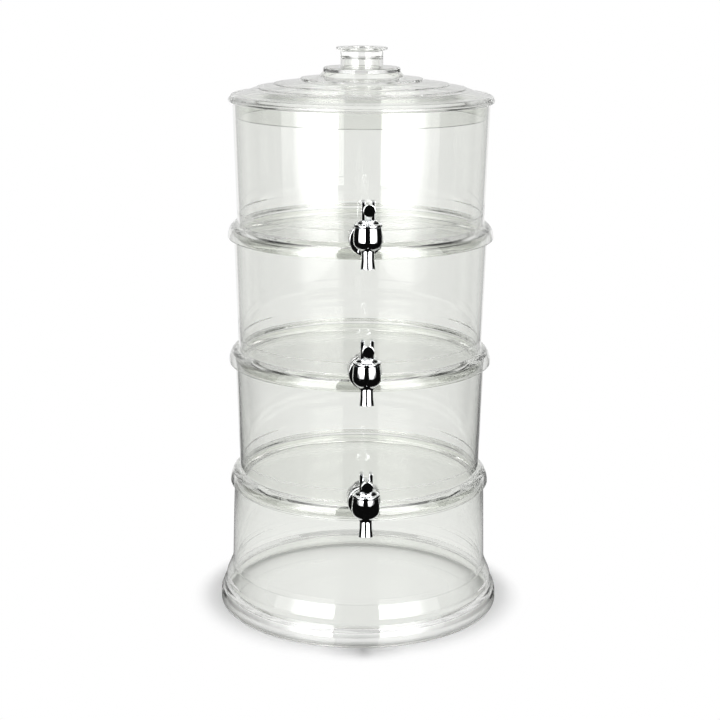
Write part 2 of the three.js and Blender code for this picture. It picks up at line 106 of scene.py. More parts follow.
# Each row is a share of the rim's radius, a share of the dome's rise and a rounding in millimetres
LID_DOME_SHARES = (
    (0.94, 0.18, 12), (0.898, 0.27, 12), (0.82, 0.436, 6), (0.791, 0.48, 0.5), (0.786, 0.524, 0.5),
    (0.662, 0.639, 0.5), (0.656, 0.683, 0.5), (0.549, 0.762, 20), (0.466, 0.833, 0.6), (0.457, 0.912, 0.6),
)
LID_SKIRT_DROP = 8.4
LID_SKIRT_WALL = 2.6
HUB_FOOT_RADIUS = 41.3
HUB_FOOT_FILLET = 1.5
HUB_TOP_RADIUS = 38.5
HUB_TOP_ROUND = 1.8
HUB_SIDE_ROUND = 0.8
HUB_INNER_ROUND = 2.0
HUB_RISE = 8.8

KNOB_NECK_RADIUS = 21.3
KNOB_NECK_WALL = 3.4
KNOB_FLANGE_RADIUS = 25.6
KNOB_FLANGE_THICKNESS = 2.6
KNOB_TOP_THICKNESS = 9.4
KNOB_HEIGHT = 21.4
KNOB_SEAT_DEPTH = 2.2
KNOB_SEAT_ROUND = 0.3
KNOB_BORE_ROUND = 2.2
KNOB_FOOT_ROUND = 0.4
KNOB_NECK_ROUND = 1.8
KNOB_FLANGE_ROUND = 1.0

SHANK_RADIUS = 7.8
SHANK_LENGTH = 28.4
FLANGE_RADIUS = 15.5
FLANGE_THICKNESS = 3.0
FLANGE_ROUND = 0.45
FLANGE_BACK_ROUND = 0.3
GASKET_THICKNESS = 2.0
BARREL_ROOT_RADIUS = 9.6
BARREL_END_RADIUS = 8.0
BARREL_FILLET = 1.4
VALVE_REACH = 44.0
BOWL_RADIUS = 13.4
BOWL_TOP_HEIGHT = 18.7
BOWL_BASE_DEPTH = 4.4
BOWL_WIDEST_HEIGHT = 6.2
BOWL_BASE_ANGLE = -64
BOWL_SIDE_SPREAD = 40.0
BOWL_SIDE_RISE = 51.4
BOWL_SIDE_ANGLES = (2, 14.1)
SPOUT_LEAN = math.radians(15)
SPOUT_START_DEPTH = 1.0
SPOUT_LENGTH = 19.2
SPOUT_ROOT_RADIUS = 5.9
SPOUT_ROOT_SPREAD = 1.5
SPOUT_ROOT_DEPTH = 5.0
SPOUT_ROOT_ROUND = 8.0
SPOUT_WAIST_SPREAD = 0.1
SPOUT_WAIST_DEPTH = 11.0
SPOUT_WAIST_ROUND = 20.0
SPOUT_END_RADIUS = 6.9
SPOUT_WALL = 1.3
SPOUT_LIP_ROUND = 0.3
SPOUT_BORE_DRAFT = 1.0
SPOUT_BORE_TOP = 4.0
BONNET_RADIUS = 13.2
BONNET_FLANGE_THICKNESS = 2.8
BONNET_EDGE_ROUND = 1.1
BONNET_EDGE_DROP = 0.5
BONNET_SHOULDER_ROUND = 0.9
BONNET_COVE_SPREAD = 0.6
BONNET_COVE_RISE = 0.4
BONNET_COVE_ROUND = 1.2
BONNET_DOME_RADIUS = 9.6
BONNET_DOME_RISE = 3.2
BONNET_DOME_DRAFT = 0.6
BONNET_DOME_ROUND = 1.0
BONNET_CROWN_DROP = 1.2
BONNET_CROWN_INSET = 2.2
STEM_RADIUS = 2.3
STEM_CLEARANCE = 0.3
PIN_RISE = 8.5
PIN_RADIUS = 1.4
PIN_CLEARANCE = 0.2
PIN_STAND_OUT = 0.3
PIN_ROUND = 0.4
STEM_EYE_WIDTH = 5.0
CHEEK_GAP = 0.4
CHEEK_THICKNESS = 3.2
CHEEK_HALF_DEPTH = 6.0
CHEEK_FOOT_HALF_DEPTH = 5.4
CHEEK_TOP_HEIGHT = 9.7
CHEEK_BACK_DROP = 5.0
CHEEK_BACK_ROUND = 6.0
CHEEK_TOP_INSET = 2.5
CHEEK_TOP_ROUND = 2.4
CHEEK_FRONT_ROUND = 1.1
CHEEK_SOFTNESS = 0.35
WEB_REACH = 4.6
WEB_THICKNESS = 2.6
WEB_DROP = 1.0
WEB_FRONT_RISE = 3.6
WEB_BACK_RISE = 4.7
WEB_LAP = 0.8
WEB_SOFTNESS = 0.4
BALL_REACH = 28.4
BALL_RISE = 4.7
BALL_RADIUS = 5.7
ARM_ROOT_RADIUS = 3.4
ARM_ROOT_RISE = 2.4
ARM_LAP = 1.2
ARM_SHIFT = 0.9
ARM_END_RADIUS = 2.7
ARM_TAPER = 0.25
ARM_NECK_SPREAD = 0.5
# Shares of the arm's length where its taper slows and where it ends
ARM_TAPER_SHARES = (0.4, 0.7)

# Forms finer than the solids: the lid's raised edge, bead and groove, the knob's dish, the ball's face
LID_RIM_DROP = 7.2
LID_BEAD_RADIUS = 129.6
LID_BEAD_RISE = 5.0
LID_BEAD_ROUND = 1.2
LID_GROOVE_RADIUS = 126.8
LID_GROOVE_DEPTH = 1.1
LID_GROOVE_ROUND = 0.4
KNOB_DISH_RADIUS = 13.4
KNOB_DISH_DEPTH = 2.8
KNOB_DISH_SLOPE = 0.8
KNOB_DISH_ROUND = 1.2
BALL_FACE_REACH = 3.9
BALL_FACE_CROWN = 0.3
BALL_FACE_INSET = 0.25
BALL_FACE_ROUND = 0.4

# Roundings and overruns that several pieces share
SMALL_ROUND = 0.5
LEDGE_ROUND = 1.0
JOIN_LAP = 1.0
CUT_SKIN = 0.05
CUT_OVERRUN = 3.0
HOLE_OVERRUN = 5.0
PORT_HOLE_LENGTH = 30.0
PIN_HOLE_HALF_LENGTH = 8.0
# How far above the port pad the wall has two more rings, so that the pad's join stays small
OVER_PORT_RISES = (1, 3)

# Facets of the round shapes
BODY_SIDES = 144
PORT_SIDES = 64
KNOB_SIDES = 96
SPIGOT_SIDES = 56
PIN_SIDES = 24
ROUND_STEPS = 4
COLLAR_STEPS = 18
CHANNEL_STEPS = 8
BOWL_BASE_STEPS = 14
BOWL_SIDE_STEPS = 8
BALL_STEPS = 16
CHEEK_STEPS = 8
SHARP_ANGLE = math.radians(28)
SPIGOT_SHARP_ANGLE = math.radians(32)
BEVEL_ANGLE = math.radians(35)
BEVEL_SEGMENTS = 2
ON_AXIS = 1e-6

# Sizes that follow
MOUTH_DRAFT = (MOUTH_RADIUS - WALL_ROOT_RADIUS) / (TIER_PITCH - COLLAR_HEIGHT)
RIM_RADIUS = MOUTH_RADIUS + MOUTH_DRAFT * RIM_RISE
NEST_RADIUS = MOUTH_RADIUS - TANK_WALL - NEST_CLEARANCE
SHELF_HEIGHT = RIM_RISE + SEAT_GAP
COLLAR_SPREAD = COLLAR_RADIUS - WALL_ROOT_RADIUS
FLOOR_TOP = FLOOR_THICKNESS - FLOOR_DROP
SHOULDER_RADIUS = WALL_ROOT_RADIUS + MOUTH_DRAFT * (SHOULDER_HEIGHT - COLLAR_HEIGHT) - TANK_WALL
LOW_BORE_RADIUS = SHOULDER_RADIUS - SHOULDER_STEP
FLANGE_BACK = GASKET_THICKNESS + 2 * SEAT_GAP
BONNET_BASE = BOWL_TOP_HEIGHT + SEAT_GAP
BONNET_TOP = BONNET_BASE + BONNET_FLANGE_THICKNESS + BONNET_DOME_RISE
PIN_HEIGHT = BONNET_TOP + PIN_RISE
HUB_BASE = LID_RIM_HEIGHT + LID_DOME_RISE
HUB_TOP = HUB_BASE + HUB_RISE
KNOB_BASE = HUB_TOP - KNOB_SEAT_DEPTH + SEAT_GAP


# Outlines
def arc(centre, spread, rise, start, end, steps):
    """Points of an ellipse about a centre, from one angle to another, in degrees."""
    angles = [math.radians(start + (end - start) * i / steps) for i in range(steps + 1)]
    points = [(centre[0] + spread * math.cos(a), centre[1] + rise * math.sin(a)) for a in angles]
    return [(0 if abs(across) < ON_AXIS else across, up) for across, up in points]


def rounded(points, steps=ROUND_STEPS):
    """The outline with each corner that carries a third value rounded to that radius."""
    out = []
    for i, point in enumerate(points):
        if len(point) < 3:
            out.append(point)
            continue
        corner = Vector(point[:2])
        before = (Vector(points[i - 1][:2]) - corner).normalized()
        after = (Vector(points[(i + 1) % len(points)][:2]) - corner).normalized()
        half = before.angle(after) / 2
        centre = corner + (before + after).normalized() * (point[2] / math.sin(half))
        first = corner + before * (point[2] / math.tan(half)) - centre
        last = corner + after * (point[2] / math.tan(half)) - centre
        sweep = first.angle_signed(last)
        for k in range(steps + 1):
            turn = Matrix.Rotation(-sweep * k / steps, 2)
            out.append(tuple(centre + turn @ first))
    return out


def between(start, end, heights):
    """Points on the straight line between two outline points, at given heights."""
    heights = list(heights)
    share = [(height - start[1]) / (end[1] - start[1]) for height in heights]
    return [(start[0] + (end[0] - start[0]) * s, height) for s, height in zip(share, heights)]


# Meshes
def new_object(name, bm):
    bmesh.ops.recalc_face_normals(bm, faces=bm.faces)
    mesh = bpy.data.meshes.new(name)
    bm.to_mesh(mesh)
    bm.free()
    piece = bpy.data.objects.new(name, mesh)
    bpy.context.scene.collection.objects.link(piece)
    return piece


def turned(name, outline, sides):
    """Turns an outline of (radius, height) points about the Z axis. One off the axis closes on itself."""
    bm = bmesh.new()
    rings = []
    for radius, height in outline:
        if radius == 0:
            rings.append([bm.verts.new((0, 0, height * MM))] * sides)
            continue
        angles = [2 * math.pi * k / sides for k in range(sides)]
        ring = [(radius * MM * math.cos(a), radius * MM * math.sin(a), height * MM) for a in angles]
        rings.append([bm.verts.new(place) for place in ring])
    pairs = list(zip(rings, rings[1:]))
    if outline[0][0] and outline[-1][0]:
        pairs.append((rings[-1], rings[0]))
    for low, high in pairs:
        for k in range(sides):
            corners = [low[k], low[(k + 1) % sides], high[(k + 1) % sides], high[k]]
            bm.faces.new(list(dict.fromkeys(corners)))
    return new_object(name, bm)


def bar(name, radius, low, high, sides):
    """A plain round bar about the Z axis, which is joined to a piece or cuts it."""
    return turned(name, [(0, low), (radius, low), (radius, high), (0, high)], sides)


def prism(name, outline, low, high):
    """An outline of (y, z) points given thickness along X."""
    bm = bmesh.new()
    ends = [[bm.verts.new((x * MM, y * MM, z * MM)) for y, z in outline] for x in (low, high)]
    bm.faces.new(ends[0])
    bm.faces.new(ends[1])
    for k in range(len(outline)):
        after = (k + 1) % len(outline)
        bm.faces.new([ends[0][k], ends[0][after], ends[1][after], ends[1][k]])
    return new_object(name, bm)


def move(piece, x=0.0, y=0.0, z=0.0, about=None):
    """Turns a piece's mesh by a matrix, then moves it by millimetres."""
    if about is not None:
        piece.data.transform(about.to_4x4())
    piece.data.transform(Matrix.Translation(Vector((x, y, z)) * MM))
    return piece


# Lays a shape turned about Z along -Y, with its base towards the wall, or along X
FORWARD = Matrix.Rotation(math.radians(90), 3, "X")
SIDEWAYS = Matrix.Rotation(math.radians(90), 3, "Y")


def applied(piece):
    """Bakes a piece's modifiers into its mesh."""
    graph = bpy.context.evaluated_depsgraph_get()
    mesh = bpy.data.meshes.new_from_object(piece.evaluated_get(graph))
    piece.modifiers.clear()
    piece.data = mesh
    return piece


def combine(piece, others, operation):
    """Joins other closed pieces to a piece or cuts them from it, and removes them."""
    for other in others:
        change = piece.modifiers.new(operation.title(), "BOOLEAN")
        change.operation = operation
        change.solver = "EXACT"
        change.object = other
        applied(piece)
        bpy.data.objects.remove(other)
    return piece


def soften(piece, width):
    """Rounds a piece's sharp edges."""
    bevel = piece.modifiers.new("Bevel", "BEVEL")
    bevel.width = width * MM
    bevel.segments = BEVEL_SEGMENTS
    bevel.limit_method = "ANGLE"
    bevel.angle_limit = BEVEL_ANGLE
    return applied(piece)


def smooth(piece, angle=SHARP_ANGLE):
    """Smooth shading in which the long faces keep their own direction and the small ones bend."""
    piece.data.shade_smooth()
    piece.data.set_sharp_from_angle(angle=angle)
    weigh = piece.modifiers.new("Normals", "WEIGHTED_NORMAL")
    weigh.keep_sharp = True
    return applied(piece)


def dress(piece, body, material, slot, *nodes):
    """Gives a finished piece its finish and its body, and hides the solids that it stands for."""
    piece.data.materials.clear()
    piece.data.materials.append(material)
    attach(piece, body)
    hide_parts(*nodes)
    return piece


def copy_of(piece, name):
    """Another piece with the same mesh."""
    twin = bpy.data.objects.new(name, piece.data.copy())
    bpy.context.scene.collection.objects.link(twin)
    return twin


# Materials
NOISE_SPREAD = (0.35, 0.65)


def node(tree, kind, **values):
    made = tree.nodes.new("ShaderNode" + kind)
    for key, value in values.items():
        setattr(made, key, value)
    return made


def principled(name, **sockets):
    material = bpy.data.materials.new(name)
    material.use_nodes = True
    shader = material.node_tree.nodes["Principled BSDF"]
    for key, value in sockets.items():
        shader.inputs[key.replace("_", " ")].default_value = value
    return material, material.node_tree, shader


def noise(tree, scale, detail=2.0):
    made = node(tree, "TexNoise")
    made.inputs["Scale"].default_value = scale
    made.inputs["Detail"].default_value = detail
    tree.links.new(node(tree, "TexCoord").outputs["Object"], made.inputs["Vector"])
    return made.outputs["Fac"]


def roughen(tree, shader, value, low, high):
    """Spreads a value from noise over a range of roughness."""
    made = node(tree, "MapRange")
    for key, bound in zip(("From Min", "From Max", "To Min", "To Max"), (*NOISE_SPREAD, low, high)):
        made.inputs[key].default_value = bound
    tree.links.new(value, made.inputs["Value"])
    tree.links.new(made.outputs["Result"], shader.inputs["Roughness"])


def bump(tree, shader, height, strength, distance):
    made = node(tree, "Bump")
    made.inputs["Strength"].default_value = strength
    made.inputs["Distance"].default_value = distance
    tree.links.new(height, made.inputs["Height"])
    tree.links.new(made.outputs["Normal"], shader.inputs["Normal"])


def clear_plastic():
    """Clear moulded plastic. Lamps shine through it, a little dimmed at each face."""
    material, tree, shader = principled(
        "clear_plastic",
        Base_Color=(0.95, 0.957, 0.937, 1),
        Transmission_Weight=1.0,
        IOR=1.49,
        Roughness=0.0,
    )
    bump(tree, shader, noise(tree, scale=14, detail=1.0), strength=0.1, distance=0.002)
    path = node(tree, "LightPath")
    through = node(tree, "BsdfTransparent")
    edge_on = node(tree, "LayerWeight")
    edge_on.inputs["Blend"].default_value = 0.5
    shade = node(tree, "MapRange", interpolation_type="SMOOTHSTEP")
    for key, value in (("From Min", 0.55), ("From Max", 0.95), ("To Min", 0.97), ("To Max", 0.3)):
        shade.inputs[key].default_value = value
    tree.links.new(edge_on.outputs["Facing"], shade.inputs["Value"])
    tree.links.new(shade.outputs[0], through.inputs["Color"])
    mix = node(tree, "MixShader")
    tree.links.new(path.outputs["Is Shadow Ray"], mix.inputs[0])
    tree.links.new(shader.outputs[0], mix.inputs[1])
    tree.links.new(through.outputs[0], mix.inputs[2])
    tree.links.new(mix.outputs[0], tree.nodes["Material Output"].inputs["Surface"])
    return material


def chrome():
    material, tree, shader = principled("chrome_plate", Base_Color=(0.86, 0.87, 0.88, 1), Metallic=1.0)
    roughen(tree, shader, noise(tree, scale=60, detail=3.0), low=0.02, high=0.06)
    bump(tree, shader, noise(tree, scale=240, detail=1.0), strength=0.06, distance=0.0004)
    return material


def steel():
    material, tree, shader = principled("steel", Base_Color=(0.7, 0.71, 0.72, 1), Metallic=1.0)
    roughen(tree, shader, noise(tree, scale=300, detail=4.0), low=0.2, high=0.35)
    bump(tree, shader, noise(tree, scale=900), strength=0.15, distance=0.0002)
    return material


def moulded(name, colour, rough_low, rough_high, grain):
    """An opaque moulded finish with a fine grain."""
    material, tree, shader = principled(name, Base_Color=(*colour, 1), IOR=1.46)
    roughen(tree, shader, noise(tree, scale=90, detail=3.0), rough_low, rough_high)
    bump(tree, shader, noise(tree, scale=1600), strength=grain, distance=0.0002)
    return material


CLEAR = clear_plastic()
CHROME = chrome()
STEEL = steel()
WHITE = moulded("white_plastic", (0.84, 0.85, 0.84), rough_low=0.3, rough_high=0.45, grain=0.1)
SILICONE = moulded("silicone", (0.75, 0.76, 0.75), rough_low=0.45, rough_high=0.6, grain=0.15)
RUBBER = moulded("rubber", (0.025, 0.025, 0.027), rough_low=0.55, rough_high=0.75, grain=0.3)


# Clear pieces
def channel_arc(gap):
    """The hollow under a collar, larger by a gap, from the shelf down to the collar's lower edge."""
    rise = COLLAR_HEIGHT - COLLAR_WALL + gap
    start = math.degrees(math.asin((SHELF_HEIGHT + gap) / rise))
    return arc((WALL_ROOT_RADIUS, 0), COLLAR_SPREAD - COLLAR_WALL + gap, rise, start, 0, CHANNEL_STEPS)


def tank():
    """Shell joined to its port pad, which leaves the channel under the collar free, and then pierced."""
    rim_top = TIER_PITCH + RIM_RISE
    inner_arc = channel_arc(0)
    outer_arc = arc((WALL_ROOT_RADIUS, 0), COLLAR_SPREAD, COLLAR_HEIGHT, 0, 90, COLLAR_STEPS)
    shoulder = (SHOULDER_RADIUS, SHOULDER_HEIGHT)
    over_port = [PORT_HEIGHT + PORT_PAD_RADIUS + rise for rise in OVER_PORT_RISES]
    outline = rounded([
        (0, -FLOOR_DROP),
        (NEST_RADIUS, -FLOOR_DROP, NEST_ROUND),
        (NEST_RADIUS, SHELF_HEIGHT, SMALL_ROUND),
        *inner_arc[:-1],
        (*inner_arc[-1], COLLAR_EDGE_ROUND),
        (*outer_arc[0], COLLAR_EDGE_ROUND),
        *outer_arc[1:-1],
        (*outer_arc[-1], SMALL_ROUND),
        *between(outer_arc[-1], (RIM_RADIUS, rim_top), over_port),
        (RIM_RADIUS, rim_top, RIM_ROUND),
        (RIM_RADIUS - TANK_WALL, rim_top, RIM_ROUND),
        *between((RIM_RADIUS - TANK_WALL, rim_top), shoulder, reversed(over_port)),
        (*shoulder, SMALL_ROUND),
        (LOW_BORE_RADIUS, SHOULDER_HEIGHT - SHOULDER_STEP, SMALL_ROUND),
        (LOW_BORE_RADIUS, FLOOR_TOP, FLOOR_FILLET),
        (0, FLOOR_TOP),
    ])
    shell = turned("tank", outline, BODY_SIDES)
    reach = LOW_BORE_RADIUS - PORT_PAD_STAND
    pad_outline = rounded([
        (0, 0),
        (PORT_PAD_RADIUS, 0, PORT_PAD_ROUND),
        (PORT_PAD_RADIUS, PORT_FACE_REACH - reach, PORT_PAD_ROUND),
        (0, PORT_FACE_REACH - reach),
    ])
    pad = move(turned("pad", pad_outline, PORT_SIDES), 0, -reach, PORT_HEIGHT, FORWARD)
    channel = [
        (NEST_RADIUS - CUT_SKIN, -CUT_OVERRUN),
        (NEST_RADIUS - CUT_SKIN, SHELF_HEIGHT + CUT_SKIN),
        *channel_arc(CUT_SKIN),
        (COLLAR_RADIUS - COLLAR_WALL + CUT_SKIN, -CUT_OVERRUN),
    ]
    combine(pad, [turned("channel", channel, BODY_SIDES)], "DIFFERENCE")
    combine(shell, [pad], "UNION")
    hole = bar("hole", PORT_HOLE_RADIUS, 0, PORT_HOLE_LENGTH, PORT_SIDES)
    move(hole, 0, HOLE_OVERRUN - reach, PORT_HEIGHT, FORWARD)
    combine(shell, [hole], "DIFFERENCE")
    return smooth(shell)


def stand():
    """Drum with a ledge and a rim at the top, a flared foot and a raised plate, in one outline."""
    shoulder = STAND_RING_HEIGHT - STAND_SHOULDER
    rim_top = STAND_RING_HEIGHT + RIM_RISE
    plate_top = PLATE_HEIGHT + PLATE_THICKNESS
    outline = rounded([
        (0, PLATE_HEIGHT),
        (PLATE_RADIUS, PLATE_HEIGHT, PLATE_UNDER_ROUND),
        (FOOT_INNER_RADIUS, 0, FOOT_INNER_ROUND),
        (FOOT_RADIUS, 0, FOOT_ROUND),
        *FOOT_ROWS,
        *[(radius, height, outer_round) for radius, height, outer_round, inner_round in FLARE_ROWS],
        (STAND_BASE_RADIUS, FLARE_HEIGHT, FLARE_ROUND),
        (STAND_TOP_RADIUS, shoulder, STAND_SHOULDER_ROUND),
        (RIM_RADIUS, STAND_RING_HEIGHT - SEAT_GAP, LEDGE_ROUND),
        (RIM_RADIUS, rim_top, RIM_ROUND),
        (RIM_RADIUS - TANK_WALL, rim_top, RIM_ROUND),
        (MOUTH_RADIUS - TANK_WALL, shoulder, LEDGE_ROUND),
        (STAND_TOP_RADIUS - STAND_WALL, shoulder - STAND_SHOULDER, STAND_SHOULDER_ROUND),
        (STAND_BASE_RADIUS - STAND_WALL, FLARE_HEIGHT, FLARE_ROUND),
        *[(radius - FLARE_WALL, height, inner_round)
          for radius, height, outer_round, inner_round in reversed(FLARE_ROWS)],
        (PLATE_RADIUS, plate_top, PLATE_FILLET),
        (0, plate_top),
    ])
    return smooth(turned("stand", outline, BODY_SIDES))


def lid():
    """Stepped dome with a hub that takes the knob, a rim over the tank's mouth and a skirt inside it."""
    seat_height = HUB_TOP - KNOB_SEAT_DEPTH
    skirt_bore = NEST_RADIUS - LID_SKIRT_WALL
    rim_bore = LID_RIM_RADIUS - LID_RIM_WALL - SEAT_GAP
    bead_height = LID_RIM_HEIGHT + LID_BEAD_RISE
    seat_radius = KNOB_NECK_RADIUS + SEAT_GAP
    dome = [
        (out * LID_RIM_RADIUS, LID_RIM_HEIGHT + up * LID_DOME_RISE, rounding)
        for out, up, rounding in LID_DOME_SHARES
    ]
    under = [(reach, height - LID_WALL, rounding) for reach, height, rounding in dome if reach < skirt_bore]
    outline = rounded([
        (0, seat_height - LID_WALL),
        (HUB_TOP_RADIUS - LID_WALL, seat_height - LID_WALL, HUB_INNER_ROUND),
        (HUB_FOOT_RADIUS - LID_WALL, HUB_BASE - LID_WALL, HUB_FOOT_FILLET),
        *reversed(under),
        (skirt_bore, under[0][1] - LID_WALL / 2, LEDGE_ROUND),
        (skirt_bore, -LID_SKIRT_DROP, LID_EDGE_ROUND),
        (NEST_RADIUS, -LID_SKIRT_DROP, LID_EDGE_ROUND),
        (NEST_RADIUS, SHELF_HEIGHT, SMALL_ROUND),
        (rim_bore - LID_RIM_WALL / 2, SHELF_HEIGHT, SMALL_ROUND),
        (rim_bore, LID_RIM_DROP, LID_RIM_INNER_ROUND),
        (LID_RIM_RADIUS - SEAT_GAP, LID_RIM_DROP, LID_EDGE_ROUND),
        (LID_RIM_RADIUS, LID_RIM_HEIGHT + LID_RIM_CROWN, LID_RIM_ROUND),
        (LID_BEAD_RADIUS, bead_height, LID_BEAD_ROUND),
        (LID_GROOVE_RADIUS, bead_height - LID_GROOVE_DEPTH, LID_GROOVE_ROUND),
        *dome[1:],
        (HUB_FOOT_RADIUS + HUB_FOOT_FILLET, HUB_BASE, LEDGE_ROUND),
        (HUB_FOOT_RADIUS, HUB_BASE + HUB_FOOT_FILLET, LEDGE_ROUND),
        (HUB_TOP_RADIUS, HUB_TOP - HUB_RISE / 2, HUB_SIDE_ROUND),
        (HUB_TOP_RADIUS, HUB_TOP, HUB_TOP_ROUND),
        (seat_radius, HUB_TOP, KNOB_SEAT_ROUND),
        (seat_radius, seat_height, KNOB_SEAT_ROUND),
        (0, seat_height),
    ])
    return smooth(turned("lid", outline, BODY_SIDES))


def lid_knob():
    """Hollow drum, open below, with a thick dished top and a thin flange around it."""
    bore = KNOB_NECK_RADIUS - KNOB_NECK_WALL
    flange_base = KNOB_HEIGHT - KNOB_FLANGE_THICKNESS
    outline = rounded([
        (0, KNOB_HEIGHT - KNOB_TOP_THICKNESS),
        (bore, KNOB_HEIGHT - KNOB_TOP_THICKNESS, KNOB_BORE_ROUND),
        (bore, 0, KNOB_FOOT_ROUND),
        (KNOB_NECK_RADIUS, 0, KNOB_FOOT_ROUND),
        (KNOB_NECK_RADIUS, flange_base, KNOB_NECK_ROUND),
        (KNOB_FLANGE_RADIUS, flange_base, KNOB_FLANGE_ROUND),
        (KNOB_FLANGE_RADIUS, KNOB_HEIGHT, KNOB_FLANGE_ROUND),
        (KNOB_DISH_RADIUS + KNOB_DISH_SLOPE, KNOB_HEIGHT, SMALL_ROUND),
        (KNOB_DISH_RADIUS, KNOB_HEIGHT - KNOB_DISH_DEPTH, KNOB_DISH_ROUND),
        (0, KNOB_HEIGHT - KNOB_DISH_DEPTH),
    ])
    return smooth(turned("lid_knob", outline, KNOB_SIDES))


# Spigot pieces, in a frame with its origin on the port's axis at the port's outer face
def bowl():
    """Bell over the valve: an elliptical base, then a side that draws in towards the top."""
    side_centre = (BOWL_RADIUS - BOWL_SIDE_SPREAD, BOWL_WIDEST_HEIGHT)
    base_rise = BOWL_WIDEST_HEIGHT + BOWL_BASE_DEPTH
    return turned("bowl", [
        (0, -BOWL_BASE_DEPTH),
        *arc((0, BOWL_WIDEST_HEIGHT), BOWL_RADIUS, base_rise, BOWL_BASE_ANGLE, 0, BOWL_BASE_STEPS),
        *arc(side_centre, BOWL_SIDE_SPREAD, BOWL_SIDE_RISE, *BOWL_SIDE_ANGLES, BOWL_SIDE_STEPS),
        (0, BOWL_TOP_HEIGHT),
    ], SPIGOT_SIDES)


def spout():
    """Flared tube, open at its lower end, down from the valve."""
    bore = SPOUT_END_RADIUS - SPOUT_WALL
    return turned("spout", rounded([
        (0, JOIN_LAP),
        (SPOUT_ROOT_RADIUS + SPOUT_ROOT_SPREAD, JOIN_LAP),
        (SPOUT_ROOT_RADIUS, -SPOUT_ROOT_DEPTH, SPOUT_ROOT_ROUND),
        (SPOUT_ROOT_RADIUS + SPOUT_WAIST_SPREAD, -SPOUT_WAIST_DEPTH, SPOUT_WAIST_ROUND),
        (SPOUT_END_RADIUS, -SPOUT_LENGTH, SPOUT_LIP_ROUND),
        (bore, -SPOUT_LENGTH, SPOUT_LIP_ROUND),
        (bore - SPOUT_BORE_DRAFT, -SPOUT_BORE_TOP),
        (0, -SPOUT_BORE_TOP),
    ]), SPIGOT_SIDES)


def barrel(front):
    """Cone from the flange's front to the valve, with a fillet at its root."""
    root = BARREL_ROOT_RADIUS + BARREL_FILLET
    return turned("barrel", [
        (0, front - JOIN_LAP),
        (root, front - JOIN_LAP),
        *arc((root, front + BARREL_FILLET), BARREL_FILLET, BARREL_FILLET, 270, 180, ROUND_STEPS),
        (BARREL_END_RADIUS, VALVE_REACH),
        (0, VALVE_REACH),
    ], SPIGOT_SIDES)


def wall_flange(front):
    return turned("flange", rounded([
        (0, FLANGE_BACK),
        (FLANGE_RADIUS, FLANGE_BACK, FLANGE_BACK_ROUND),
        (FLANGE_RADIUS, front, FLANGE_ROUND),
        (0, front),
    ]), SPIGOT_SIDES)


def spigot_body():
    """Bowl joined to its spout, and to the barrel, wall flange and shank along the port's axis."""
    front = FLANGE_BACK + FLANGE_THICKNESS
    body = move(bowl(), 0, -VALVE_REACH)
    tube = move(spout(), 0, -VALVE_REACH, -SPOUT_START_DEPTH, Matrix.Rotation(-SPOUT_LEAN, 3, "X"))
    shank = bar("shank", SHANK_RADIUS, -SHANK_LENGTH, front - JOIN_LAP, SPIGOT_SIDES)
    cone, flange, shank = [move(piece, about=FORWARD) for piece in (barrel(front), wall_flange(front), shank)]
    combine(body, [cone, tube, flange, shank], "UNION")
    body.name = "spigot_body"
    return smooth(body, SPIGOT_SHARP_ANGLE)


def bonnet():
    """Cap over the bowl: a rounded flange, then a low dome round the stem."""
    bore = STEM_RADIUS + STEM_CLEARANCE
    shoulder = BONNET_BASE + BONNET_FLANGE_THICKNESS
    outline = rounded([
        (bore, BONNET_BASE),
        (BONNET_RADIUS, BONNET_BASE, BONNET_EDGE_ROUND),
        (BONNET_RADIUS, shoulder - BONNET_EDGE_DROP, BONNET_SHOULDER_ROUND),
        (BONNET_DOME_RADIUS + BONNET_COVE_SPREAD, shoulder + BONNET_COVE_RISE, BONNET_COVE_ROUND),
        (BONNET_DOME_RADIUS - BONNET_DOME_DRAFT, BONNET_TOP - BONNET_CROWN_DROP, BONNET_DOME_ROUND),
        (BONNET_DOME_RADIUS - BONNET_CROWN_INSET, BONNET_TOP, BONNET_DOME_ROUND),
        (bore, BONNET_TOP),
    ])
    return smooth(move(turned("bonnet", outline, SPIGOT_SIDES), 0, -VALVE_REACH))


def lever_arm():
    """Tapered arm from the web to the ball."""
    along = BALL_REACH - WEB_REACH
    up = BALL_RISE - ARM_ROOT_RISE
    length = math.hypot(along, up)
    slows, ends = [length * share for share in ARM_TAPER_SHARES]
    arm = turned("arm", [
        (0, -ARM_LAP),
        (ARM_ROOT_RADIUS, -ARM_LAP),
        (ARM_ROOT_RADIUS, 0),
        (ARM_END_RADIUS + ARM_TAPER, slows),
        (ARM_END_RADIUS, ends),
        (ARM_END_RADIUS + ARM_NECK_SPREAD, length - BALL_RADIUS + ARM_LAP),
        (0, length),
    ], SPIGOT_SIDES)
    slope = Matrix.Rotation(-math.atan2(up, along), 3, "X")
    return move(arm, 0, -WEB_REACH - ARM_SHIFT, ARM_ROOT_RISE, slope @ FORWARD)


def lever_ball():
    """Ball with a flat, slightly crowned face in front."""
    ball = turned("ball", rounded([
        *arc((0, 0), BALL_RADIUS, BALL_RADIUS, -90, 0, BALL_STEPS),
        (BALL_RADIUS - BALL_FACE_INSET, BALL_FACE_REACH - BALL_FACE_CROWN, BALL_FACE_ROUND),
        (0, BALL_FACE_REACH),
    ]), SPIGOT_SIDES)
    return move(ball, 0, -BALL_REACH, BALL_RISE, FORWARD)


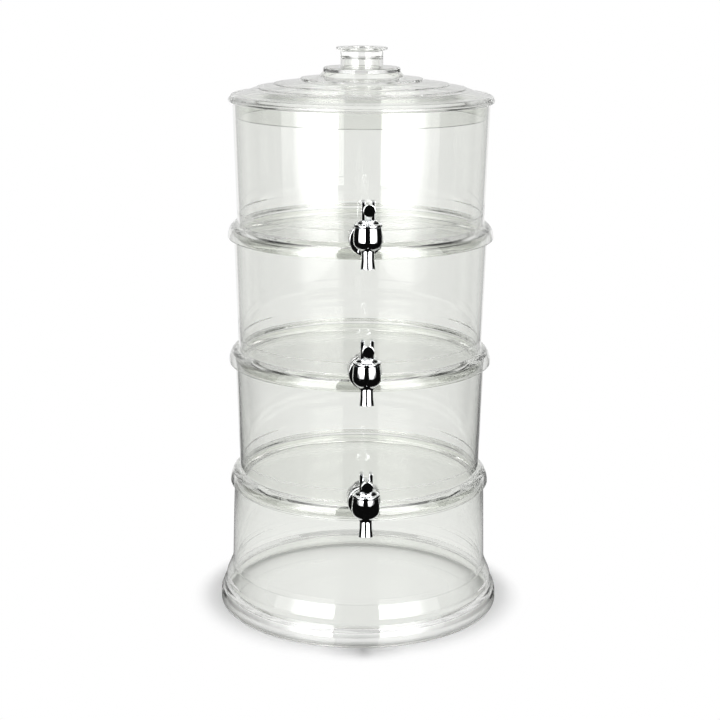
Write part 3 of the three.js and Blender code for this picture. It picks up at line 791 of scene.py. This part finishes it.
def lever():
    """Yoke of two cheeks with a web in front, an arm and a ball, made about the pin's axis."""
    inner = STEM_EYE_WIDTH / 2 + CHEEK_GAP
    outer = inner + CHEEK_THICKNESS
    foot = PIN_RISE - SEAT_GAP
    cheek = rounded([
        (CHEEK_FOOT_HALF_DEPTH, -foot),
        (CHEEK_HALF_DEPTH, CHEEK_TOP_HEIGHT - CHEEK_BACK_DROP, CHEEK_BACK_ROUND),
        (CHEEK_HALF_DEPTH - CHEEK_TOP_INSET, CHEEK_TOP_HEIGHT, CHEEK_TOP_ROUND),
        (-CHEEK_HALF_DEPTH, CHEEK_TOP_HEIGHT, CHEEK_FRONT_ROUND),
        (-CHEEK_FOOT_HALF_DEPTH, -foot),
    ], CHEEK_STEPS)
    right = soften(prism("lever", cheek, inner, outer), CHEEK_SOFTNESS)
    left = soften(prism("cheek", cheek, -outer, -inner), CHEEK_SOFTNESS)
    web_front = -WEB_REACH - WEB_THICKNESS
    web_side = [
        (web_front, -WEB_DROP),
        (web_front, WEB_FRONT_RISE),
        (-WEB_REACH, WEB_BACK_RISE),
        (-WEB_REACH, -WEB_DROP),
    ]
    web = soften(prism("web", web_side, -inner - WEB_LAP, inner + WEB_LAP), WEB_SOFTNESS)
    combine(right, [left, web, lever_arm(), lever_ball()], "UNION")
    hole = bar("hole", PIN_RADIUS + PIN_CLEARANCE, -PIN_HOLE_HALF_LENGTH, PIN_HOLE_HALF_LENGTH, PIN_SIDES)
    combine(right, [move(hole, about=SIDEWAYS)], "DIFFERENCE")
    return smooth(move(right, 0, -VALVE_REACH, PIN_HEIGHT))


def hinge_pin():
    half = STEM_EYE_WIDTH / 2 + CHEEK_GAP + CHEEK_THICKNESS + PIN_STAND_OUT
    outline = rounded([(0, -half), (PIN_RADIUS, -half, PIN_ROUND), (PIN_RADIUS, half, PIN_ROUND), (0, half)])
    pin = move(turned("hinge_pin", outline, PIN_SIDES), about=SIDEWAYS)
    return smooth(move(pin, 0, -VALVE_REACH, PIN_HEIGHT))


def ring_height(tier):
    return STAND_RING_HEIGHT + TIERS.index(tier) * TIER_PITCH


def build_clear_pieces():
    dress(move(stand(), 0, STACK_SETBACK), "stand", CLEAR, "clear_plastic", "stand").name = "clear_stand"
    vessel = tank()
    for tier in TIERS:
        piece = move(copy_of(vessel, f"clear_tank_{tier}"), 0, STACK_SETBACK, ring_height(tier))
        dress(piece, f"{tier}_tier", CLEAR, "clear_plastic", f"tank_{tier}")
    bpy.data.objects.remove(vessel)
    dress(move(lid(), 0, STACK_SETBACK, LID_HEIGHT), "lid", CLEAR, "clear_plastic", "lid").name = "clear_lid"
    knob = move(lid_knob(), 0, STACK_SETBACK, LID_HEIGHT + KNOB_BASE)
    dress(knob, "lid", CLEAR, "clear_plastic", "lid_knob").name = "clear_knob"


def build_spigots():
    """The outer pieces of each tier's spigot, at its port."""
    made = {
        "spigot_body": (spigot_body(), "{}_tier", CHROME, "chrome_plate"),
        "bonnet": (bonnet(), "{}_tier", CHROME, "chrome_plate"),
        "lever": (lever(), "lever_{}", CHROME, "chrome_plate"),
        "hinge_pin": (hinge_pin(), "stem_{}", STEEL, "steel"),
    }
    for kind, (pattern, body, material, slot) in made.items():
        for tier in TIERS:
            piece = copy_of(pattern, f"fine_{kind}_{tier}")
            move(piece, 0, STACK_SETBACK - PORT_FACE_REACH, ring_height(tier) + PORT_HEIGHT)
            dress(piece, body.format(tier), material, slot, f"{kind}_{tier}")
        bpy.data.objects.remove(pattern)


def finish_hidden_solids():
    """Gives the spigots' solids that have no finer mesh their finish."""
    finishes = {
        "valve_stem": WHITE,
        "seat_cup": SILICONE,
        "outer_gasket": RUBBER,
        "inner_gasket": RUBBER,
        "lock_nut": WHITE,
    }
    for kind, material in finishes.items():
        for tier in TIERS:
            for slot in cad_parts[f"{kind}_{tier}"].material_slots:
                slot.material = material


# Stage, with the levels of light first
FLOOR_GLOW = 0.15
ROOM_LIGHT = 0.32
DARK = 0.004
DIM = 0.03
BRIGHT = 0.9
SKY = 0.72
CARD_COLOUR = (0.9, 0.9, 0.9, 1)

# Pairs between which a level begins and is full, as shares of a direction's length
BEHIND = (0.86, 0.92)
ROUGHLY_BEHIND = (0.5, 0.75)
BENT_UP = (0.05, 0.3)
CEILING = (0.72, 0.8)
PANELS_BEGIN = (0.3, 0.4)
PANELS_END = (0.8, 0.9)

# The same in metres from the origin and, for the halo, from the stack's axis
PANELS_AWAY = (0.7, 1.5)
FOOT_AWAY = (0.3, 0.5)
# Inside HALO_BEGIN the floor under the stack glows with painted light; the real shadow shows from there out
# to HALO_END
HALO_BEGIN = (0.1, 0.14)
HALO_END = (0.15, 0.18)

FLOOR_REACH = 60.0
FLOOR_CELLS = 8
FLOOR_GAP_MM = 0.5
PANEL_AZIMUTHS = (-46, 44)
PANEL_DISTANCE = 1.5
PANEL_HEIGHT = 1.5
PANEL_WIDTH = 1.5
PANEL_LENGTH = 3.0
PANEL_POWER = 112
PANEL_INSIDE_SHARE = 0.4
# Shares of a panel's width and length over which its cloth thins, and how much passes where it is thickest
CLOTH_SIDE = (0.2, 0.5)
CLOTH_SIDE_SHARE = 0.2
CLOTH_FOOT = (0.02, 0.09)
CLOTH_FOOT_SHARE = 0.15
OVERHEAD_HEIGHT = 2.4
OVERHEAD_FORWARD = 0.1
OVERHEAD_SIZE = 0.3
OVERHEAD_POWER = 43
LIGHT_BOUNCES = 128


def calculate(tree, operation, *values):
    """A Math node on numbers or other nodes' outputs."""
    made = node(tree, "Math", operation=operation)
    for socket, value in zip(made.inputs, values):
        if isinstance(value, (int, float)):
            socket.default_value = value
        else:
            tree.links.new(value, socket)
    return made.outputs[0]


def between_values(tree, share, low, high):
    """A number that goes from low to high as share goes from 0 to 1."""
    made = node(tree, "MapRange")
    for key, value in (("Value", share), ("To Min", low), ("To Max", high)):
        if isinstance(value, (int, float)):
            made.inputs[key].default_value = value
        else:
            tree.links.new(value, made.inputs[key])
    return made.outputs["Result"]


def step_up(tree, value, low, high):
    """0 below low, 1 above high, smooth between."""
    made = node(tree, "MapRange", interpolation_type="SMOOTHSTEP")
    made.inputs["From Min"].default_value = low
    made.inputs["From Max"].default_value = high
    tree.links.new(value, made.inputs["Value"])
    return made.outputs["Result"]


def step_down(tree, value, low, high):
    """1 below low, 0 above high, smooth between."""
    return calculate(tree, "SUBTRACT", 1.0, step_up(tree, value, low, high))


def largest(tree, value, *others):
    for other in others:
        value = calculate(tree, "MAXIMUM", value, other)
    return value


def axes_of(tree, vector):
    apart = node(tree, "SeparateXYZ")
    tree.links.new(vector, apart.inputs[0])
    return apart.outputs


def distance_from(tree, vector, centre):
    made = node(tree, "VectorMath", operation="DISTANCE")
    made.inputs[1].default_value = centre
    tree.links.new(vector, made.inputs[0])
    return made.outputs["Value"]


def has_met(tree, kind, times=1):
    """1 for a ray that has so many bounces of a kind, Diffuse, Glossy or Transmission, or more behind it."""
    return calculate(tree, "GREATER_THAN", node(tree, "LightPath").outputs[f"{kind} Depth"], times - 0.5)


def studio_light(tree, mirrored, inside, bent):
    """White to a ray that has met no piece yet, mirrored to one turned back by the outside of a piece, inside
    to one turned back within clear plastic, and bent to one that has only gone through it."""
    deep = has_met(tree, "Transmission")
    reflected = between_values(tree, deep, mirrored, inside)
    straight = between_values(tree, deep, 1.0, bent)
    return between_values(tree, has_met(tree, "Glossy"), straight, reflected)


def often_turned_back(tree, along):
    """1 for a ray that goes roughly behind after two or more turns back, as inside clear plastic."""
    return calculate(tree, "MULTIPLY", has_met(tree, "Glossy", 2), step_up(tree, along, *ROUGHLY_BEHIND))


def floor_light(tree, place):
    """White, also through clear walls. What pieces mirror of it is dark, but for the part behind them and,
    inside clear plastic, painted pools of light round the foot and towards the panels."""
    away = distance_from(tree, place, (0, 0, 0))
    axes = axes_of(tree, place)
    along = calculate(tree, "DIVIDE", axes["Y"], away)
    aside = calculate(tree, "DIVIDE", calculate(tree, "ABSOLUTE", axes["X"]), away)
    behind = step_up(tree, along, *BEHIND)
    panels_end = step_up(tree, aside, *PANELS_END)
    towards_panels = calculate(tree, "SUBTRACT", step_up(tree, aside, *PANELS_BEGIN), panels_end)
    # Painted pools of light on the floor, met only by rays turned back inside clear plastic: one towards the
    # panels beyond PANELS_AWAY, and one round the foot within FOOT_AWAY
    painted_panel_pool = calculate(tree, "MULTIPLY", towards_panels, step_up(tree, away, *PANELS_AWAY))
    painted_foot_pool = step_down(tree, away, *FOOT_AWAY)
    inside = largest(tree, painted_foot_pool, behind, painted_panel_pool, often_turned_back(tree, along))
    return studio_light(
        tree, between_values(tree, behind, DARK, BRIGHT), between_values(tree, inside, DIM, BRIGHT), 1.0)


def floor_glow(tree, place):
    """Share of the floor that shines by itself. Under the stack it glows fully: painted light, in place of
    the light that the clear plastic lets through, which hides the stack's shadow there. The rest is a card
    that takes shadow: in a halo round the foot, and wherever it lights a dull surface."""
    from_axis = distance_from(tree, place, (0, STACK_SETBACK * MM, 0))
    # Painted light: within HALO_BEGIN of the axis the floor glows fully, so the stack's real shadow shows
    # only in the ring out to HALO_END
    within = step_down(tree, from_axis, *HALO_BEGIN)
    clear_of = largest(tree, within, step_up(tree, from_axis, *HALO_END))
    glow = between_values(tree, clear_of, FLOOR_GLOW, 1.0)
    seen = calculate(tree, "SUBTRACT", 1.0, has_met(tree, "Diffuse"))
    return calculate(tree, "MULTIPLY", seen, largest(tree, glow, has_met(tree, "Glossy")))


def floor_material():
    material = bpy.data.materials.new("floor")
    material.use_nodes = True
    tree = material.node_tree
    tree.nodes.clear()
    place = node(tree, "NewGeometry").outputs["Position"]
    emission = node(tree, "Emission")
    tree.links.new(floor_light(tree, place), emission.inputs["Strength"])
    card = node(tree, "BsdfDiffuse")
    card.inputs["Color"].default_value = CARD_COLOUR
    mix = node(tree, "MixShader")
    tree.links.new(floor_glow(tree, place), mix.inputs[0])
    tree.links.new(card.outputs[0], mix.inputs[1])
    tree.links.new(emission.outputs[0], mix.inputs[2])
    tree.links.new(mix.outputs[0], node(tree, "OutputMaterial").inputs["Surface"])
    return material


def build_floor():
    bm = bmesh.new()
    bmesh.ops.create_grid(bm, x_segments=FLOOR_CELLS, y_segments=FLOOR_CELLS, size=FLOOR_REACH)
    floor = move(new_object("floor", bm), 0, 0, -FLOOR_GAP_MM)
    floor.data.materials.append(floor_material())


def build_world():
    """A white room. What pieces mirror of it is dark, but for the ceiling and the part behind them."""
    world = bpy.data.worlds.new("studio")
    bpy.context.scene.world = world
    world.use_nodes = True
    tree = world.node_tree
    tree.nodes.clear()
    axes = axes_of(tree, node(tree, "TexCoord").outputs["Generated"])
    ceiling = step_up(tree, axes["Z"], *CEILING)
    bright = largest(tree, ceiling, step_up(tree, axes["Y"], *BEHIND))
    straight = largest(tree, ceiling, step_down(tree, axes["Z"], *BENT_UP))
    inside = largest(tree, bright, often_turned_back(tree, axes["Y"]))
    light = studio_light(
        tree, between_values(tree, bright, DARK, SKY), between_values(tree, inside, DIM, SKY),
        between_values(tree, straight, DIM, 1.0))
    strength = between_values(tree, has_met(tree, "Diffuse"), light, ROOM_LIGHT)
    background = node(tree, "Background")
    background.inputs["Color"].default_value = (1, 1, 1, 1)
    tree.links.new(strength, background.inputs["Strength"])
    tree.links.new(background.outputs[0], node(tree, "OutputWorld").inputs["Surface"])


def lamp(name, place_m, target_m, width, height, power):
    light = bpy.data.lights.new(name, "AREA")
    light.shape = "RECTANGLE"
    light.size = width
    light.size_y = height
    light.energy = power
    made = bpy.data.objects.new(name, light)
    bpy.context.scene.collection.objects.link(made)
    made.location = place_m
    made.rotation_mode = "QUATERNION"
    made.rotation_quaternion = (Vector(target_m) - Vector(place_m)).to_track_quat("-Z", "Y")
    made.visible_camera = False
    return made


def cloth(light, outer):
    """Dims a panel towards its foot and its outer side, which is at 0 or 1 across it, as cloth does. Only
    what is turned back by a piece meets its light: through a clear wall it is as white as the room."""
    light.use_nodes = True
    tree = light.node_tree
    emission = tree.nodes["Emission"]
    axes = axes_of(tree, node(tree, "NewGeometry").outputs["Parametric"])
    across = calculate(tree, "ABSOLUTE", calculate(tree, "SUBTRACT", axes["X"], outer))
    side = between_values(tree, step_up(tree, across, *CLOTH_SIDE), CLOTH_SIDE_SHARE, 1.0)
    foot = between_values(tree, step_up(tree, axes["Y"], *CLOTH_FOOT), CLOTH_FOOT_SHARE, 1.0)
    within = between_values(tree, has_met(tree, "Transmission"), 1.0, PANEL_INSIDE_SHARE)
    share = calculate(tree, "MULTIPLY", has_met(tree, "Glossy"), within)
    strength = calculate(tree, "MULTIPLY", share, calculate(tree, "MULTIPLY", side, foot))
    tree.links.new(strength, emission.inputs["Strength"])


def around(azimuth, distance, height):
    """A place round the stack, with azimuth 0 in front of the camera's side and positive to the right."""
    angle = math.radians(azimuth + CAMERA_TURN)
    return (distance * math.sin(angle), STACK_SETBACK * MM - distance * math.cos(angle), height)


def build_lights():
    """Two tall panels that the walls and the chrome mirror, and a small lamp above that draws the shadow."""
    aim = around(0, 0, PANEL_HEIGHT)
    for side, azimuth, outer in zip(("left", "right"), PANEL_AZIMUTHS, (0, 1)):
        place = around(azimuth, PANEL_DISTANCE, PANEL_HEIGHT)
        panel = lamp(f"panel_{side}", place, aim, PANEL_WIDTH, PANEL_LENGTH, PANEL_POWER)
        panel.visible_diffuse = False
        cloth(panel.data, outer)
    axis_m = STACK_SETBACK * MM
    place = (0, axis_m - OVERHEAD_FORWARD, OVERHEAD_HEIGHT)
    above = lamp("overhead", place, (0, axis_m, 0), OVERHEAD_SIZE, OVERHEAD_SIZE, OVERHEAD_POWER)
    above.visible_glossy = False
    above.visible_transmission = False


# Camera, fitted to the photograph's 720 by 720 frame
IMAGE_SIDE = 720
FOCAL_PIXELS = 1617.72
SENSOR_MM = 36.0
CAMERA_DISTANCE = 1.63008
CAMERA_HEIGHT = 0.66679
CAMERA_ASIDE = 0.00024
CAMERA_PITCH = 0.246
CAMERA_ROLL = 0.007
SPIGOT_TURN = 0.037
CAMERA_TURN = -math.degrees(SPIGOT_TURN)
CLIP_END = 200


def build_camera():
    data = bpy.data.cameras.new("camera")
    data.sensor_width = SENSOR_MM
    data.lens = SENSOR_MM * FOCAL_PIXELS / IMAGE_SIDE
    data.clip_end = CLIP_END
    camera = bpy.data.objects.new("camera", data)
    bpy.context.scene.collection.objects.link(camera)
    right = Vector((1, 0, 0))
    up = Vector((0, math.sin(CAMERA_PITCH), math.cos(CAMERA_PITCH)))
    rolled_up = up * math.cos(CAMERA_ROLL) - right * math.sin(CAMERA_ROLL)
    rolled_right = right * math.cos(CAMERA_ROLL) + up * math.sin(CAMERA_ROLL)
    back = rolled_right.cross(rolled_up)
    turn = Matrix((rolled_right, rolled_up, back)).transposed().to_4x4()
    stand_off = Matrix.Translation((CAMERA_ASIDE, -CAMERA_DISTANCE, CAMERA_HEIGHT))
    setback = Matrix.Translation((0, STACK_SETBACK * MM, 0))
    camera.matrix_world = setback @ Matrix.Rotation(-SPIGOT_TURN, 4, "Z") @ stand_off @ turn
    bpy.context.scene.camera = camera


build_clear_pieces()
build_spigots()
finish_hidden_solids()
build_floor()
build_world()
build_lights()
build_camera()
bpy.context.scene.view_settings.view_transform = "Standard"
# Light turns many times inside a clear wall before it comes out
for kind in ("max_bounces", "glossy_bounces", "transmission_bounces", "transparent_max_bounces"):
    setattr(bpy.context.scene.cycles, kind, LIGHT_BOUNCES)
